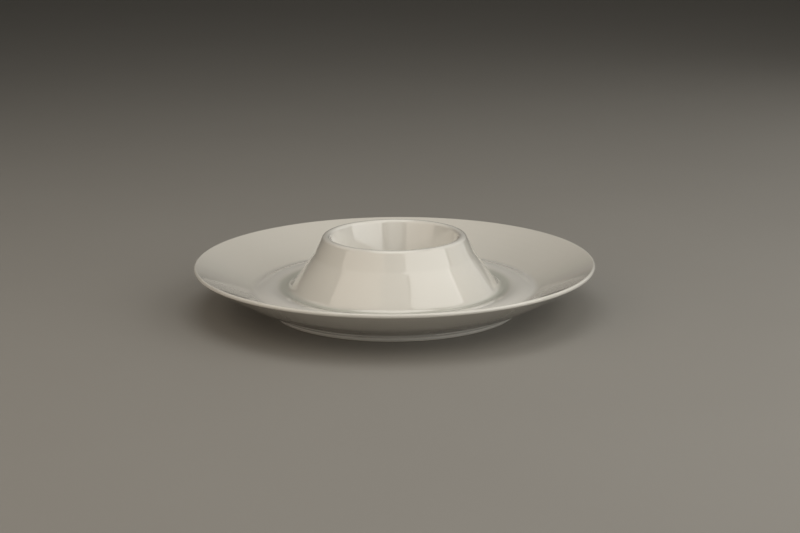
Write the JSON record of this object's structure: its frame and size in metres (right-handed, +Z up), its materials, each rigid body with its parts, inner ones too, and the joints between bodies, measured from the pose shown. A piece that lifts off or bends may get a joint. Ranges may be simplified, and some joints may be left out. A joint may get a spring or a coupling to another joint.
{
  "type": "egg cup",
  "caption": "Low egg cup that rises from the middle of a wide round saucer, in white glazed porcelain, with an open foot ring under it.",
  "frame": {"origin": "on the table, at the middle of the foot ring", "axes": "+Z up along the axis that the form turns about; the form is round, so X and Y are free, and -Y faces the viewer"},
  "size_m": [0.1352, 0.1352, 0.0255],
  "materials": {
    "bare_porcelain": "matt, fired and unglazed",
    "glaze": "glossy, transparent glaze over white porcelain"
  },
  "bodies": {
    "root": {"foot_ring": "bare_porcelain", "saucer_well": "bare_porcelain", "saucer_bead": "bare_porcelain", "saucer_flange": "bare_porcelain", "saucer_edge": "bare_porcelain", "cup_wall": "bare_porcelain", "cup_lip": "bare_porcelain", "egg_bowl": "bare_porcelain", "outer_glaze": "glaze", "underside_glaze": "glaze"}
  },
  "joints": []
}
